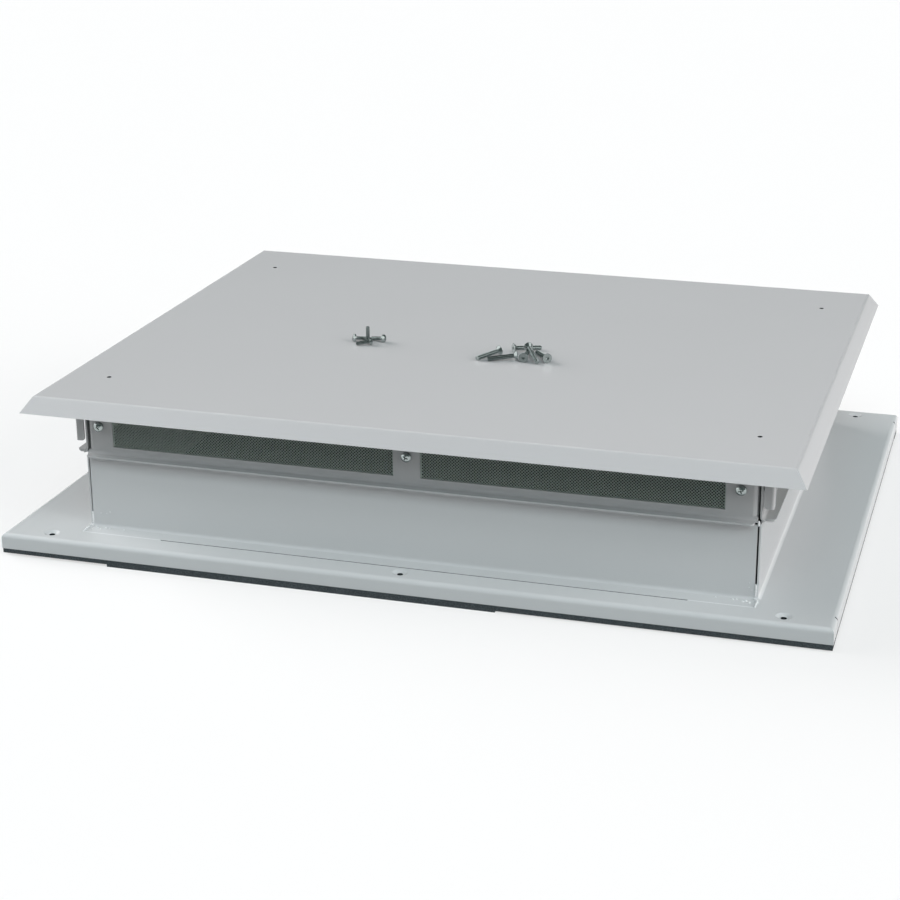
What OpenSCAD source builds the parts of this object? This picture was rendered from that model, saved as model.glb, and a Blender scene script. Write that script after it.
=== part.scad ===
// Vented roof plate for a floor-standing enclosure.
// A flanged base plate carries a low duct with perforated vents on its four sides,
// and a hood cover rests on top. All sizes are in millimetres.
// X runs to the right, Y to the rear, Z up. The origin is the middle of the
// footprint, at the underside of the foam gasket.

/* [Sheet metal] */
// Thickness of the folded sheet
sheet_t = 1.5; // [1:0.1:2]
// Inside radius of the soft bends that show
bend_r = 3; // [2:0.25:3.5]
// Inside radius of the tight bends
tight_bend_r = 1.5; // [1:0.25:2.5]
// Open slit left between two sheets that meet at a corner
corner_slit = 1.6; // [1:0.1:2.2]

/* [Base plate] */
// Width of the base plate across the front
base_w = 800; // [700:5:1200]
// Depth of the base plate
base_d = 600; // [540:5:1000]
// Height of the turned-down edge
base_edge_h = 15; // [12:0.5:30]
// Outside radius of the bend along that edge
base_bend_r = 4.5; // [2.5:0.25:6]
// Width of the return that is turned inwards under the edge
base_return_w = 28; // [24:1:36]
// Diameter of the six fixing holes
fix_hole_d = 5.5; // [5.2:0.1:6.5]
// Distance of the corner fixing holes from the side edge
fix_hole_side = 46; // [36:1:58]
// Distance of the fixing holes from the front and rear edge
fix_hole_front = 16; // [14:0.5:18]
// Diameter of the dimple pressed round each fixing hole
dimple_d = 15; // [13:0.5:17]
// Depth of the dimple
dimple_depth = 2; // [1:0.25:3]

/* [Gasket] */
// Height of the foam under the middle of the front edge and under the rear edge
gasket_h = 7; // [6:0.5:12]
// Width of the foam strips
gasket_w = 22; // [20:0.5:24]
// How far the foam stays inside the edge of the base plate
gasket_inset = 0.5; // [0:0.25:2]
// How much lower the short left-hand front strip is than the middle one
gasket_left_step = 2.5; // [0:0.25:4]
// How much lower the right-hand front strip is than the middle one
gasket_right_step = 1.5; // [0:0.25:4]
// How much lower the side strips are than the middle one
gasket_side_step = 2; // [0:0.25:4]
// Length of the short left-hand front strip
gasket_left_len = 110; // [80:5:160]
// Length of the right-hand front strip
gasket_right_len = 305; // [160:5:320]

/* [Duct] */
// Distance from the side edge of the base plate to the duct wall
duct_side_inset = 73.5; // [64:0.5:90]
// Distance from the front edge of the base plate to the duct wall
duct_front_inset = 45; // [38:0.5:60]
// Height of the duct walls above the base plate
duct_h = 74.5; // [50:0.5:120]
// Width of the foot that closes the base plate in front of the front and rear walls
duct_foot_w = 17; // [12:0.5:20]
// Gap between that foot and the base plate
foot_gap = 1.6; // [0.6:0.1:2]
// Width of the flange along the top of the duct walls
duct_flange_w = 10; // [8:0.5:11]
// Length of the weld that closes the gap at the left-hand end of a foot
foot_weld_left = 81; // [30:1:120]
// Length of the weld that closes the gap at the right-hand end of a foot
foot_weld_right = 60; // [30:1:120]
// Height of the weld at the bottom of each corner
corner_weld_h = 14; // [8:0.5:20]
// Height of the weld at the top of each corner
ledge_weld_h = 4; // [3.5:0.5:10]
// Leg of the bead along the foot of the side walls
seam_leg = 3; // [2:0.25:4]

/* [Vent frames] */
// Height of the vent frames, ledge and top flange included
frame_h = 64.5; // [58:0.5:80]
// How far the ledge stands out from the duct
ledge_w = 12; // [11:0.5:14]
// Corner radius of the ledge
ledge_corner_r = 4; // [2:0.5:6]
// Width of the flange turned inwards at the top
frame_top_w = 20; // [18:0.5:24]
// Inside radius of the vertical fold at the ends of the front and rear frame
end_fold_r = 4; // [3:0.25:4.5]
// Depth of that folded end
end_fold_w = 8.5; // [7:0.25:9]
// Height of the window sill above the underside of the ledge
sill_h = 8.5; // [7:0.25:10]
// Height of the windows
window_h = 40; // [30:0.5:42]
// Width of the post between the two windows of a side
post_w = 26; // [20:0.5:40]
// How far the windows and screws of the front and rear frame sit to the left
window_shift = 1.9; // [0:0.1:2.5]
// Distance from the end of a frame to its window
window_end = 27.5; // [24:0.5:36]
// Distance from the end of a frame to its outer screw
screw_end = 14; // [12:0.25:16]

/* [Perforated inserts] */
// Thickness of the perforated sheet
insert_t = 1; // [0.8:0.1:1.5]
// Distance that the insert stays clear of the folded ends
insert_end_gap = 6; // [5.8:0.1:8]
// How far the insert reaches past the windows, above and below
insert_lap = 3.5; // [2:0.25:3.5]

/* [Cover] */
// Distance from the side edge of the base plate to the cover's lower edge
cover_side_inset = 30; // [10:1:36]
// Distance from the front edge of the base plate to the cover's lower edge
cover_front_inset = 0; // [0:1:10]
// Height of the sloping skirt
skirt_h = 15; // [10:0.5:25]
// How far the skirt slopes outwards
skirt_run = 10.5; // [6:0.25:14]
// Distance from the duct wall in to the cover screws, across
cover_hole_side = 10; // [9:0.25:12]
// Distance from the duct wall in to the cover screws, front to rear
cover_hole_front = 38; // [34:1:60]
// Diameter of the holes for the cover screws
cover_hole_d = 4.5; // [4.3:0.1:5]

/* [Cover lugs] */
// Gap between a lug and the vent frame beside it
lug_gap = 1.5; // [1:0.1:2.5]
// Width of the lug seen from the front
lug_w = 8.8; // [6:0.1:10]
// Length of the lug from front to rear
lug_len = 10; // [8:0.5:25]
// Length of the lug below the cover
lug_drop = 52.5; // [30:0.5:56]
// Inside radius of the bend in the lug
lug_bend_r = 0.75; // [0.5:0.25:2]
// Radius of the lug's lower corners
lug_corner_r = 3; // [1:0.25:4]

/* [Insert screws] */
// Thread diameter of the insert screws
insert_screw_d = 5; // [4:0.1:5.2]
// Length of thread that stands out behind the nut
insert_screw_tail = 2; // [1:0.5:3]
// Head diameter of the insert screws
insert_head_d = 9.5; // [8:0.1:10]
// Head height of the insert screws
insert_head_h = 3.7; // [3:0.1:4]
// Width across flats of their nuts
insert_nut_af = 8; // [7:0.1:8.2]
// Height of their nuts
insert_nut_h = 4; // [3:0.1:4.2]

/* [Cover screws] */
// Thread diameter of the cover screws
cover_screw_d = 4; // [3:0.1:4]
// Length of the cover screws below the head
cover_screw_l = 14; // [12:0.5:15]
// Head diameter of the cover screws
cover_head_d = 8; // [6.5:0.1:8]
// Head height of the cover screws
cover_head_h = 3.1; // [2.4:0.1:3.2]
// Width across flats of the nuts under the frame
cover_nut_af = 7; // [6:0.1:7.5]
// Height of those nuts
cover_nut_h = 3.2; // [2.5:0.1:4]
// Place of the small heap of screws on the cover, across
cover_heap_x = -113; // [-200:1:-60]
// Place of the small heap of screws on the cover, front to rear
cover_heap_y = -40; // [-150:1:150]

/* [Mounting screws] */
// Thread diameter of the mounting screws
mount_screw_d = 5; // [4.5:0.1:5]
// Length of the mounting screws, head included
mount_screw_l = 30; // [28:0.5:34]
// Head diameter of the mounting screws
mount_head_d = 9.8; // [8.5:0.1:10.2]
// Height of the conical head
mount_head_h = 3.1; // [2.4:0.1:3.3]
// Width across flats of the socket
mount_socket_af = 3; // [2.5:0.1:3.5]
// Place of the large heap of screws on the cover, across
mount_heap_x = 50; // [20:1:200]
// Place of the large heap of screws on the cover, front to rear
mount_heap_y = -52; // [-150:1:150]

/* [Hidden] */
$fn = 48;

// Overrun of every cut
cut = 1;
// Clearance of a thread in its nut
thread_gap = 0.05;
// Clearance of a thread in its hole, and of one loose screw from another
rest_gap = 0.1;

// Setback of the side walls and side frames from the front of the duct
side_setback = 1;
// Setback of the ledges and top flanges from the corners
ledge_setback = 5;

// Radius of the bend along the top of the cover, outside
cover_bend_r = bend_r;
// Steps in that bend
bend_steps = 6;

// Duct outside, and the heights of the stack
duct_w = base_w - 2 * duct_side_inset;
duct_d = base_d - 2 * duct_front_inset;
plate_z = gasket_h + base_edge_h;
ledge_z = plate_z + duct_h;
frame_top_z = ledge_z + frame_h;
cover_top_z = frame_top_z + sheet_t;

// Lengths of the walls and frames: the side ones run between the front and rear ones
front_len = duct_w - 2 * (sheet_t + corner_slit);
side_len = duct_d - 2 * side_setback;
front_ledge_len = duct_w - 2 * ledge_setback;
side_ledge_len = duct_d - 2 * ledge_setback;
// Flanges of the duct walls under the ledges, short of the ledges' rounded corners
front_flange_len = front_ledge_len - ledge_corner_r;
side_flange_len = side_ledge_len - ledge_corner_r;

// Cover outside at its lower edge
cover_w = base_w - 2 * cover_side_inset;
cover_d = base_d - 2 * cover_front_inset;
// Slope of the skirt
skirt_angle = atan2(skirt_h, skirt_run);

// Outer edge of the foam
gasket_x = base_w / 2 - gasket_inset;
gasket_y = base_d / 2 - gasket_inset;

// Places of the fixing holes
fix_x = base_w / 2 - fix_hole_side;
fix_y = base_d / 2 - fix_hole_front;
fix_corners = [[-fix_x, -fix_y], [fix_x, -fix_y], [-fix_x, fix_y], [fix_x, fix_y]];
fix_middles = [[0, -fix_y], [0, fix_y]];
fix_holes = concat(fix_corners, fix_middles);
// Clearance added to the fixing holes in the return and in the foam
fix_clearance = 1;
// Flat ring round a fixing hole at the bottom of its dimple
dimple_floor_d = fix_hole_d + 2 * sheet_t;

// Places of the cover screws
cover_hole_x = duct_w / 2 - cover_hole_side;
cover_hole_y = duct_d / 2 - cover_hole_front;

// Clearance of the holes for the insert screws
insert_hole_d = insert_screw_d + 2 * rest_gap;
// Height of the insert screws, at the middle of the windows
insert_screw_z = sill_h + window_h / 2;
// Bore of the nuts
insert_nut_bore = insert_screw_d + 2 * thread_gap;
cover_nut_bore = cover_screw_d + 2 * thread_gap;

// Cross recess of the pan heads, as shares of the head diameter and height
recess_len_share = 0.55;
recess_w_share = 0.13;
recess_deep_share = 0.5;
// Curve of the pan heads, as a share of the head diameter
dome_r_share = 0.8;
// Depth of the socket as a share of the countersunk head's height
socket_deep_share = 0.75;
// Rim of the countersunk head and chamfer at the thread's end, as shares of the thread
rim_share = 0.1;
chamfer_share = 0.12;

// Small heap: head place as shares of the screw length, and the way the tip points
cover_heap_shares = [
    [-1, 0, 38],
    [0.36, -0.51, 201],
    [1.04, 0.43, 165]
];
// Large heap: head place as shares of the screw length, and the way the tip points
mount_heap_shares = [
    [-0.74, 0.27, 236],
    [-0.03, -0.12, 204],
    [-0.37, 0.64, 35],
    [0.24, -0.33, 95],
    [1.02, -0.18, 124]
];
// The screw that leans on the fourth one: head place, the way its tip points,
// and where along the fourth screw it rests
lean_shares = [0.2, 0.4, 303];
lean_on_share = 0.73;

// Quarter ring that joins two legs of a folded sheet, turned in quarter turns
module bend_2d(inner_r, turns) {
    rotate(turns * 90)
        intersection() {
            difference() {
                circle(inner_r + sheet_t);
                circle(inner_r);
            }
            square(inner_r + sheet_t);
        }
}

// Stands a profile up: its X becomes outwards, its Y up, and it runs along the wall
module along_wall(run) {
    rotate([90, 0, 0])
        linear_extrude(run, center = true)
            children();
}

// Puts something made for the right-hand side on one of the four sides
module on_side(side) {
    turn = side == "right" ? 0 : side == "rear" ? 90 : side == "left" ? 180 : 270;
    out = side == "right" || side == "left" ? duct_w / 2 : duct_d / 2;
    rotate(turn)
        translate([out, 0, 0])
            children();
}

// Rectangle with its two outer corners rounded, for a flange seen from above
module flange_plan(out, run, corner_r) {
    square_run = run - 2 * corner_r;
    translate([0, -square_run / 2])
        square([out, square_run]);
    translate([0, -run / 2])
        square([out - corner_r, run]);
    for (end = [-1, 1])
        translate([out - corner_r, end * square_run / 2])
            circle(corner_r);
}

// Profile of a low pan with rounded top edges
module pan_profile(wide, high, r) {
    translate([-wide / 2, 0])
        square([wide, high - r]);
    translate([-wide / 2 + r, 0])
        square([wide - 2 * r, high]);
    for (side = [-1, 1])
        translate([side * (wide / 2 - r), high - r])
            circle(r);
}

// Solid pan with its top edges rounded
module pan_solid(wide, deep, high, r) {
    intersection() {
        rotate([90, 0, 0])
            linear_extrude(deep, center = true)
                pan_profile(wide, high, r);
        rotate([90, 0, 90])
            linear_extrude(wide, center = true)
                pan_profile(deep, high, r);
    }
}

// Ring of sheet pressed down round a fixing hole, flush with the sheet round it
module dimple() {
    outer_r = dimple_d / 2;
    floor_r = dimple_floor_d / 2;
    hole_r = fix_hole_d / 2;
    rotate_extrude()
        polygon([
            [hole_r, -dimple_depth],
            [floor_r, -dimple_depth],
            [outer_r, 0],
            [outer_r, -sheet_t],
            [floor_r, -dimple_depth - sheet_t],
            [hole_r, -dimple_depth - sheet_t]
        ]);
}

// Base plate: pan with an inward return, the duct's opening and six dimpled holes
module base_plate() {
    opening_d = duct_d + 2 * (duct_foot_w + foot_gap);
    color([0.75, 0.77, 0.78])
        translate([0, 0, gasket_h]) {
            difference() {
                pan_solid(base_w, base_d, base_edge_h, base_bend_r);
                translate([0, 0, sheet_t])
                    pan_solid(
                        base_w - 2 * sheet_t, base_d - 2 * sheet_t,
                        base_edge_h - 2 * sheet_t, base_bend_r - sheet_t
                    );
                translate([0, 0, sheet_t / 2])
                    cube([
                        base_w - 2 * base_return_w, base_d - 2 * base_return_w, sheet_t + cut
                    ], center = true);
                translate([0, 0, base_edge_h])
                    cube([duct_w, opening_d, 2 * sheet_t + cut], center = true);
                for (place = fix_holes) {
                    translate([place[0], place[1], base_edge_h - sheet_t - cut])
                        cylinder(d = dimple_d, h = sheet_t + 2 * cut);
                    translate([place[0], place[1], -cut])
                        cylinder(d = fix_hole_d + fix_clearance, h = sheet_t + 2 * cut);
                }
            }
            for (place = fix_holes)
                translate([place[0], place[1], base_edge_h])
                    dimple();
        }
}

// One strip of foam under the return, from x0 to x1 and y0 to y1
module gasket_strip(x0, x1, y0, y1, step) {
    color([0.12, 0.12, 0.12])
        difference() {
            translate([x0, y0, step])
                cube([x1 - x0, y1 - y0, gasket_h - step]);
            for (place = fix_holes)
                translate([place[0], place[1], -cut])
                    cylinder(d = fix_hole_d + fix_clearance, h = gasket_h + 2 * cut);
        }
}

module gasket_front_left() {
    gasket_strip(
        -gasket_x, -base_w / 2 + gasket_left_len,
        -gasket_y, -gasket_y + gasket_w, gasket_left_step
    );
}

module gasket_front_middle() {
    gasket_strip(
        -base_w / 2 + gasket_left_len, base_w / 2 - gasket_right_len,
        -gasket_y, -gasket_y + gasket_w, 0
    );
}

module gasket_front_right() {
    gasket_strip(
        base_w / 2 - gasket_right_len, gasket_x,
        -gasket_y, -gasket_y + gasket_w, gasket_right_step
    );
}

module gasket_rear() {
    gasket_strip(-gasket_x, gasket_x, gasket_y - gasket_w, gasket_y, 0);
}

module gasket_left() {
    gasket_strip(
        -gasket_x, -gasket_x + gasket_w,
        -gasket_y + gasket_w, gasket_y - gasket_w, gasket_side_step
    );
}

module gasket_right() {
    gasket_strip(
        gasket_x - gasket_w, gasket_x,
        -gasket_y + gasket_w, gasket_y - gasket_w, gasket_side_step
    );
}

// Profile of a duct wall's upright and top flange, from the underside of the base plate up
module duct_upright_2d(foot) {
    top = ledge_z - plate_z + sheet_t;
    low = foot ? sheet_t + bend_r : 0;
    bend_top = top - sheet_t - tight_bend_r;
    translate([-sheet_t, low])
        square([sheet_t, bend_top - low]);
}

module duct_flange_2d() {
    top = ledge_z - plate_z + sheet_t;
    translate([tight_bend_r, top - sheet_t - tight_bend_r])
        bend_2d(tight_bend_r, 1);
    translate([tight_bend_r, top - sheet_t])
        square([duct_flange_w - tight_bend_r, sheet_t]);
}

// Duct wall made for the right-hand side; the front and rear ones have a foot as well
module duct_wall(run, flange_run, foot) {
    color([0.72, 0.74, 0.75])
        translate([0, 0, plate_z - sheet_t]) {
            along_wall(run)
                duct_upright_2d(foot);
            along_wall(flange_run)
                duct_flange_2d();
            if (foot) {
                along_wall(run)
                    translate([bend_r, sheet_t + bend_r])
                        bend_2d(bend_r, 2);
                along_wall(duct_w)
                    translate([bend_r, 0])
                        square([duct_foot_w - bend_r, sheet_t]);
            }
        }
}

module duct_front() {
    on_side("front")
        duct_wall(front_len, front_flange_len, true);
}

module duct_rear() {
    on_side("rear")
        duct_wall(front_len, front_flange_len, true);
}

module duct_left() {
    on_side("left")
        duct_wall(side_len, side_flange_len, false);
}

module duct_right() {
    on_side("right")
        duct_wall(side_len, side_flange_len, false);
}

// Hollow bead along the foot of each side wall
module side_seam_beads() {
    color([0.75, 0.77, 0.78])
        for (side = ["left", "right"])
            on_side(side)
                translate([0, 0, plate_z])
                    along_wall(side_len)
                        difference() {
                            square(seam_leg);
                            translate([seam_leg, seam_leg])
                                circle(seam_leg);
                        }
}

// Welds that close the gap in front of each foot at its two ends
module foot_welds() {
    color([0.75, 0.77, 0.78])
        for (side = ["front", "rear"])
            on_side(side)
                translate([duct_foot_w, 0, plate_z - sheet_t]) {
                    translate([0, -duct_w / 2, 0])
                        cube([foot_gap, foot_weld_left, sheet_t]);
                    translate([0, duct_w / 2 - foot_weld_right, 0])
                        cube([foot_gap, foot_weld_right, sheet_t]);
                }
}

// Welds that close the hole at the foot of each corner
module foot_corner_welds() {
    plug_w = duct_w / 2 - front_len / 2;
    deep = bend_r + side_setback;
    low = plate_z - sheet_t;
    high = sheet_t + seam_leg / 2;
    for (side = ["front", "rear"], end = [-1, 1])
        on_side(side)
            translate([bend_r - deep / 2, end * (duct_w - plug_w) / 2, low + high / 2])
                cube([deep, plug_w, high], center = true);
}

// Weld metal that fills the slits at the four corners from this height up
module slit_welds(low, high) {
    deep = sheet_t + side_setback;
    for (side = ["front", "rear"], end = [-1, 1])
        on_side(side)
            translate([-deep / 2, end * (front_len + corner_slit) / 2, low + high / 2])
                cube([deep, corner_slit, high], center = true);
}

// Welds in the slit at the bottom of each corner
module corner_welds() {
    color([0.75, 0.77, 0.78])
        union() {
            foot_corner_welds();
            slit_welds(plate_z, corner_weld_h);
        }
}

// Welds in the slit at the top of each corner, under the ledge
module ledge_welds() {
    color([0.75, 0.77, 0.78])
        slit_welds(ledge_z - ledge_weld_h, ledge_weld_h);
}

// Places of the three insert screws along a side
function screw_row(run, shift) = [for (k = [-1, 0, 1]) k * (run / 2 - screw_end) - shift];

// Two windows and three screw holes of a vent frame, for a panel of this length
module frame_openings(run, shift) {
    window_w = (run - post_w) / 2 - window_end;
    for (end = [-1, 1])
        translate([-sheet_t / 2, end * (post_w + window_w) / 2 - shift, insert_screw_z])
            cube([sheet_t + 2 * cut, window_w, window_h], center = true);
    for (y = screw_row(run, shift))
        translate([cut, y, insert_screw_z])
            rotate([0, -90, 0])
                cylinder(d = insert_hole_d, h = sheet_t + 2 * cut);
}

// Vent frame made for the right-hand side: ledge, panel with windows, top flange
module vent_frame(run, panel_run, ledge_run, top_run, shift, folded) {
    top_bend = frame_h - sheet_t - tight_bend_r;
    panel_low = sheet_t + bend_r;
    color([0.68, 0.7, 0.71])
        translate([0, 0, ledge_z])
            difference() {
                union() {
                    along_wall(panel_run)
                        translate([-sheet_t, panel_low])
                            square([sheet_t, top_bend - panel_low]);
                    along_wall(run)
                        translate([bend_r, panel_low])
                            bend_2d(bend_r, 2);
                    translate([bend_r, 0, 0])
                        linear_extrude(sheet_t)
                            flange_plan(ledge_w - bend_r, ledge_run, ledge_corner_r);
                    along_wall(top_run)
                        translate([-sheet_t - tight_bend_r, top_bend])
                            bend_2d(tight_bend_r, 0);
                    translate([-frame_top_w, -top_run / 2, frame_h - sheet_t])
                        cube([frame_top_w - sheet_t - tight_bend_r, top_run, sheet_t]);
                    if (folded)
                        for (end = [0, 1])
                            mirror([0, end, 0])
                                end_fold(run, panel_low, top_bend);
                }
                frame_openings(run, shift);
            }
}

// Vertical fold that turns the end of the front and rear frames inwards
module end_fold(run, low, high) {
    turn_r = end_fold_r + sheet_t;
    translate([-turn_r, run / 2 - turn_r, low])
        linear_extrude(high - low)
            bend_2d(end_fold_r, 0);
    translate([-end_fold_w, run / 2 - sheet_t, low])
        cube([end_fold_w - turn_r, sheet_t, high - low]);
}

module front_frame() {
    turn_r = end_fold_r + sheet_t;
    top_run = duct_w - 2 * (frame_top_w + corner_slit);
    vent_frame(front_len, front_len - 2 * turn_r, front_ledge_len, top_run, window_shift, true);
}

module side_frame() {
    difference() {
        vent_frame(side_len, side_len, side_ledge_len, side_len - 2 * ledge_setback, 0, false);
        for (end = [-1, 1])
            translate([-cover_hole_side, end * cover_hole_y, ledge_z + frame_h - sheet_t - cut])
                cylinder(d = cover_hole_d, h = sheet_t + 2 * cut);
    }
}

module vent_frame_front() {
    on_side("front")
        front_frame();
}

module vent_frame_rear() {
    on_side("rear")
        front_frame();
}

module vent_frame_left() {
    on_side("left")
        side_frame();
}

module vent_frame_right() {
    on_side("right")
        side_frame();
}

// Perforated insert behind the windows, a plain sheet here
module vent_insert(run, shift) {
    insert_run = run - 2 * insert_end_gap;
    insert_h = window_h + 2 * insert_lap;
    color([0.25, 0.3, 0.28])
        translate([-sheet_t - insert_t / 2, 0, ledge_z + insert_screw_z])
            difference() {
                cube([insert_t, insert_run, insert_h], center = true);
                for (y = screw_row(run, shift))
                    translate([0, y, 0])
                        rotate([0, 90, 0])
                            cylinder(d = insert_hole_d, h = insert_t + 2 * cut, center = true);
            }
}

module vent_insert_front() {
    on_side("front")
        vent_insert(front_len, window_shift);
}

module vent_insert_rear() {
    on_side("rear")
        vent_insert(front_len, window_shift);
}

module vent_insert_left() {
    on_side("left")
        vent_insert(side_len, 0);
}

module vent_insert_right() {
    on_side("right")
        vent_insert(side_len, 0);
}

// Domed pan-head screw, its seat at the origin, its thread pointing down
module pan_screw(thread_d, thread_l, head_d, head_h) {
    dome_r = dome_r_share * head_d;
    recess_l = recess_len_share * head_d;
    recess_w = recess_w_share * head_d;
    recess_h = recess_deep_share * head_h;
    difference() {
        intersection() {
            cylinder(d = head_d, h = head_h);
            translate([0, 0, head_h - dome_r])
                sphere(dome_r);
        }
        for (turn = [0, 90])
            rotate(turn)
                translate([0, 0, head_h])
                    cube([recess_l, recess_w, 2 * recess_h], center = true);
    }
    translate([0, 0, -thread_l])
        cylinder(d = thread_d, h = thread_l);
}

// Hexagon nut with its seat at the origin, below it
module hex_nut(af, high, bore) {
    translate([0, 0, -high])
        difference() {
            cylinder(d = af / cos(30), h = high, $fn = 6);
            translate([0, 0, -cut])
                cylinder(d = bore, h = high + 2 * cut);
        }
}

// Three insert screws along a side
module insert_screws(side, run, shift) {
    thread_l = sheet_t + insert_t + insert_nut_h + insert_screw_tail;
    color([0.8, 0.82, 0.84])
        on_side(side)
            for (y = screw_row(run, shift))
                translate([0, y, ledge_z + insert_screw_z])
                    rotate([0, 90, 0])
                        pan_screw(insert_screw_d, thread_l, insert_head_d, insert_head_h);
}

// Three nuts behind the insert
module insert_nuts(side, run, shift) {
    color([0.8, 0.82, 0.84])
        on_side(side)
            for (y = screw_row(run, shift))
                translate([-sheet_t - insert_t, y, ledge_z + insert_screw_z])
                    rotate([0, 90, 0])
                        hex_nut(insert_nut_af, insert_nut_h, insert_nut_bore);
}

// Nuts under the top flanges of the side frames, for the cover screws
module cover_nuts() {
    color([0.8, 0.82, 0.84])
        for (x = [-cover_hole_x, cover_hole_x], y = [-cover_hole_y, cover_hole_y])
            translate([x, y, frame_top_z - sheet_t])
                hex_nut(cover_nut_af, cover_nut_h, cover_nut_bore);
}

// Outline of the hood seen from the end: sloping skirts, rounded where they meet the top
function hood_points(low_half, high, r, drop) =
    let (
        high_half = low_half - high / tan(skirt_angle),
        setback = r * tan(skirt_angle / 2),
        arc = [for (i = [0 : bend_steps]) 90 - skirt_angle + i * skirt_angle / bend_steps],
        right_side = concat(
            [[low_half + drop / tan(skirt_angle), -drop]],
            [for (a = arc) [high_half - setback + r * cos(a), high - r + r * sin(a)]]
        ),
        left_side = [for (i = [len(right_side) - 1 : -1 : 0]) [-right_side[i][0], right_side[i][1]]]
    )
    concat(right_side, left_side);

module hood_solid(wide, deep, high, r, drop) {
    intersection() {
        rotate([90, 0, 0])
            linear_extrude(deep + 2 * skirt_run, center = true)
                polygon(hood_points(wide / 2, high, r, drop));
        rotate([90, 0, 90])
            linear_extrude(wide + 2 * skirt_run, center = true)
                polygon(hood_points(deep / 2, high, r, drop));
    }
}

// Cover: flat top with sloping skirts and four screw holes
module cover() {
    skirt_t = sheet_t / sin(skirt_angle);
    color([0.78, 0.79, 0.8])
        difference() {
            translate([0, 0, cover_top_z - skirt_h])
                hood_solid(cover_w, cover_d, skirt_h, cover_bend_r, 0);
            translate([0, 0, cover_top_z - skirt_h])
                hood_solid(
                    cover_w - 2 * skirt_t, cover_d - 2 * skirt_t,
                    skirt_h - sheet_t, cover_bend_r - sheet_t, cut
                );
            for (x = [-cover_hole_x, cover_hole_x], y = [-cover_hole_y, cover_hole_y])
                translate([x, y, cover_top_z - sheet_t - cut])
                    cylinder(d = cover_hole_d, h = sheet_t + 2 * cut);
        }
}

// Lug at the front right corner of the cover: an angle that hangs beside the vent frame
module cover_lug() {
    out = duct_w / 2 + lug_gap + lug_w;
    front = -duct_d / 2 + side_setback;
    bend_out = lug_bend_r + sheet_t;
    color([0.72, 0.74, 0.75])
        translate([out, front, frame_top_z - lug_drop])
            intersection() {
                linear_extrude(lug_drop) {
                    translate([-bend_out, bend_out])
                        bend_2d(lug_bend_r, 3);
                    translate([-lug_w, 0])
                        square([lug_w - bend_out, sheet_t]);
                    translate([-sheet_t, bend_out])
                        square([sheet_t, lug_len - bend_out]);
                }
                rotate([90, 0, 0])
                    linear_extrude(2 * lug_len, center = true)
                        lug_plan(lug_w);
                rotate([90, 0, 90])
                    linear_extrude(2 * lug_w, center = true)
                        mirror([1, 0])
                            lug_plan(lug_len);
            }
}

// Face of a lug's leg, its free lower corner rounded
module lug_plan(wide) {
    translate([-wide, lug_corner_r])
        square([wide, lug_drop - lug_corner_r]);
    translate([-wide + lug_corner_r, 0])
        square([wide - lug_corner_r, lug_drop]);
    translate([-wide + lug_corner_r, lug_corner_r])
        circle(lug_corner_r);
}

module cover_lug_front_right() {
    cover_lug();
}

module cover_lug_front_left() {
    mirror([1, 0, 0])
        cover_lug();
}

module cover_lug_rear_right() {
    mirror([0, 1, 0])
        cover_lug();
}

module cover_lug_rear_left() {
    rotate(180)
        cover_lug();
}

// Lays a screw down: it rests on the rim of its head and on its tip, the tip along +X
module lay_screw(reach, head_r, tip_r, lift) {
    slope = atan2(head_r - tip_r, reach);
    span = norm([reach, head_r - tip_r]);
    tilt = slope + asin(lift / span);
    translate([0, 0, lift + rest_gap])
        rotate([0, tilt, 0])
            translate([0, 0, head_r])
                rotate([0, -90, 0])
                    children();
}

// Four short cover screws: three lie down and one stands on its head
module cover_screws() {
    color([0.8, 0.82, 0.84])
        translate([cover_heap_x, cover_heap_y, cover_top_z]) {
            for (place = cover_heap_shares)
                translate([place[0] * cover_screw_l, place[1] * cover_screw_l, 0])
                    rotate(place[2])
                        lay_screw(cover_screw_l, cover_head_d / 2, cover_screw_d / 2, 0)
                            pan_screw(cover_screw_d, cover_screw_l, cover_head_d, cover_head_h);
            translate([0, 0, cover_head_h + rest_gap])
                rotate([180, 0, 0])
                    pan_screw(cover_screw_d, cover_screw_l, cover_head_d, cover_head_h);
        }
}

// Countersunk socket screw, its top face at the origin, its thread pointing down
module countersunk_screw() {
    thread_r = mount_screw_d / 2;
    head_r = mount_head_d / 2;
    rim = rim_share * mount_screw_d;
    chamfer = chamfer_share * mount_screw_d;
    socket_deep = socket_deep_share * mount_head_h;
    difference() {
        rotate_extrude()
            polygon([
                [0, 0],
                [head_r, 0],
                [head_r, -rim],
                [thread_r, -mount_head_h],
                [thread_r, -mount_screw_l + chamfer],
                [thread_r - chamfer, -mount_screw_l],
                [0, -mount_screw_l]
            ]);
        translate([0, 0, -socket_deep])
            cylinder(d = mount_socket_af / cos(30), h = socket_deep + cut, $fn = 6);
    }
}

// Lays a countersunk screw on its rim and tip
module lay_countersunk(lift) {
    rim = rim_share * mount_screw_d;
    chamfer = chamfer_share * mount_screw_d;
    lay_screw(mount_screw_l - rim - chamfer, mount_head_d / 2, mount_screw_d / 2, lift)
        translate([0, 0, rim])
            countersunk_screw();
}

// Six long mounting screws: five lie down and the sixth leans on one of them
module mounting_screws() {
    under = mount_screw_d + (mount_head_d - mount_screw_d) / 2 * (1 - lean_on_share) + rest_gap;
    color([0.8, 0.82, 0.84])
        translate([mount_heap_x, mount_heap_y, cover_top_z]) {
            for (place = mount_heap_shares)
                translate([place[0] * mount_screw_l, place[1] * mount_screw_l, 0])
                    rotate(place[2])
                        lay_countersunk(0);
            translate([lean_shares[0] * mount_screw_l, lean_shares[1] * mount_screw_l, 0])
                rotate(lean_shares[2])
                    lay_countersunk(under);
        }
}

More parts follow.
